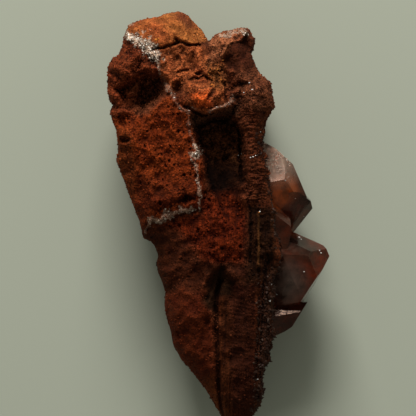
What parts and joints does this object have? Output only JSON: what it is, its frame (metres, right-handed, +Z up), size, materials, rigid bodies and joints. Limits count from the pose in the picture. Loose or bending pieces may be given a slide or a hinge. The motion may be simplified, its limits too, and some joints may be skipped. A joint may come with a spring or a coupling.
{
  "type": "calcite with hematite on matrix",
  "caption": "Loose mineral specimen: tapering wedge of rusty hematite rock with a pale calcite vein and intergrown see-through red-brown calcite crystals on one side, lying on its back.",
  "frame": {"origin": "centre of the footprint's box, on the surface that the specimen lies on", "axes": "+Z up, away from that surface and towards the side that is seen; +Y along the rock, from the narrow foot to the top cap; +X towards the crystals"},
  "size_m": [0.0446, 0.0848, 0.0282],
  "materials": {
    "hematite_rock": "dull, earthy and porous, rust-red",
    "calcite": "glossy crystal faces, see-through red-brown, cloudy in places"
  },
  "bodies": {
    "root": {"matrix": "hematite_rock", "calcite_cluster": "calcite"}
  },
  "joints": []
}
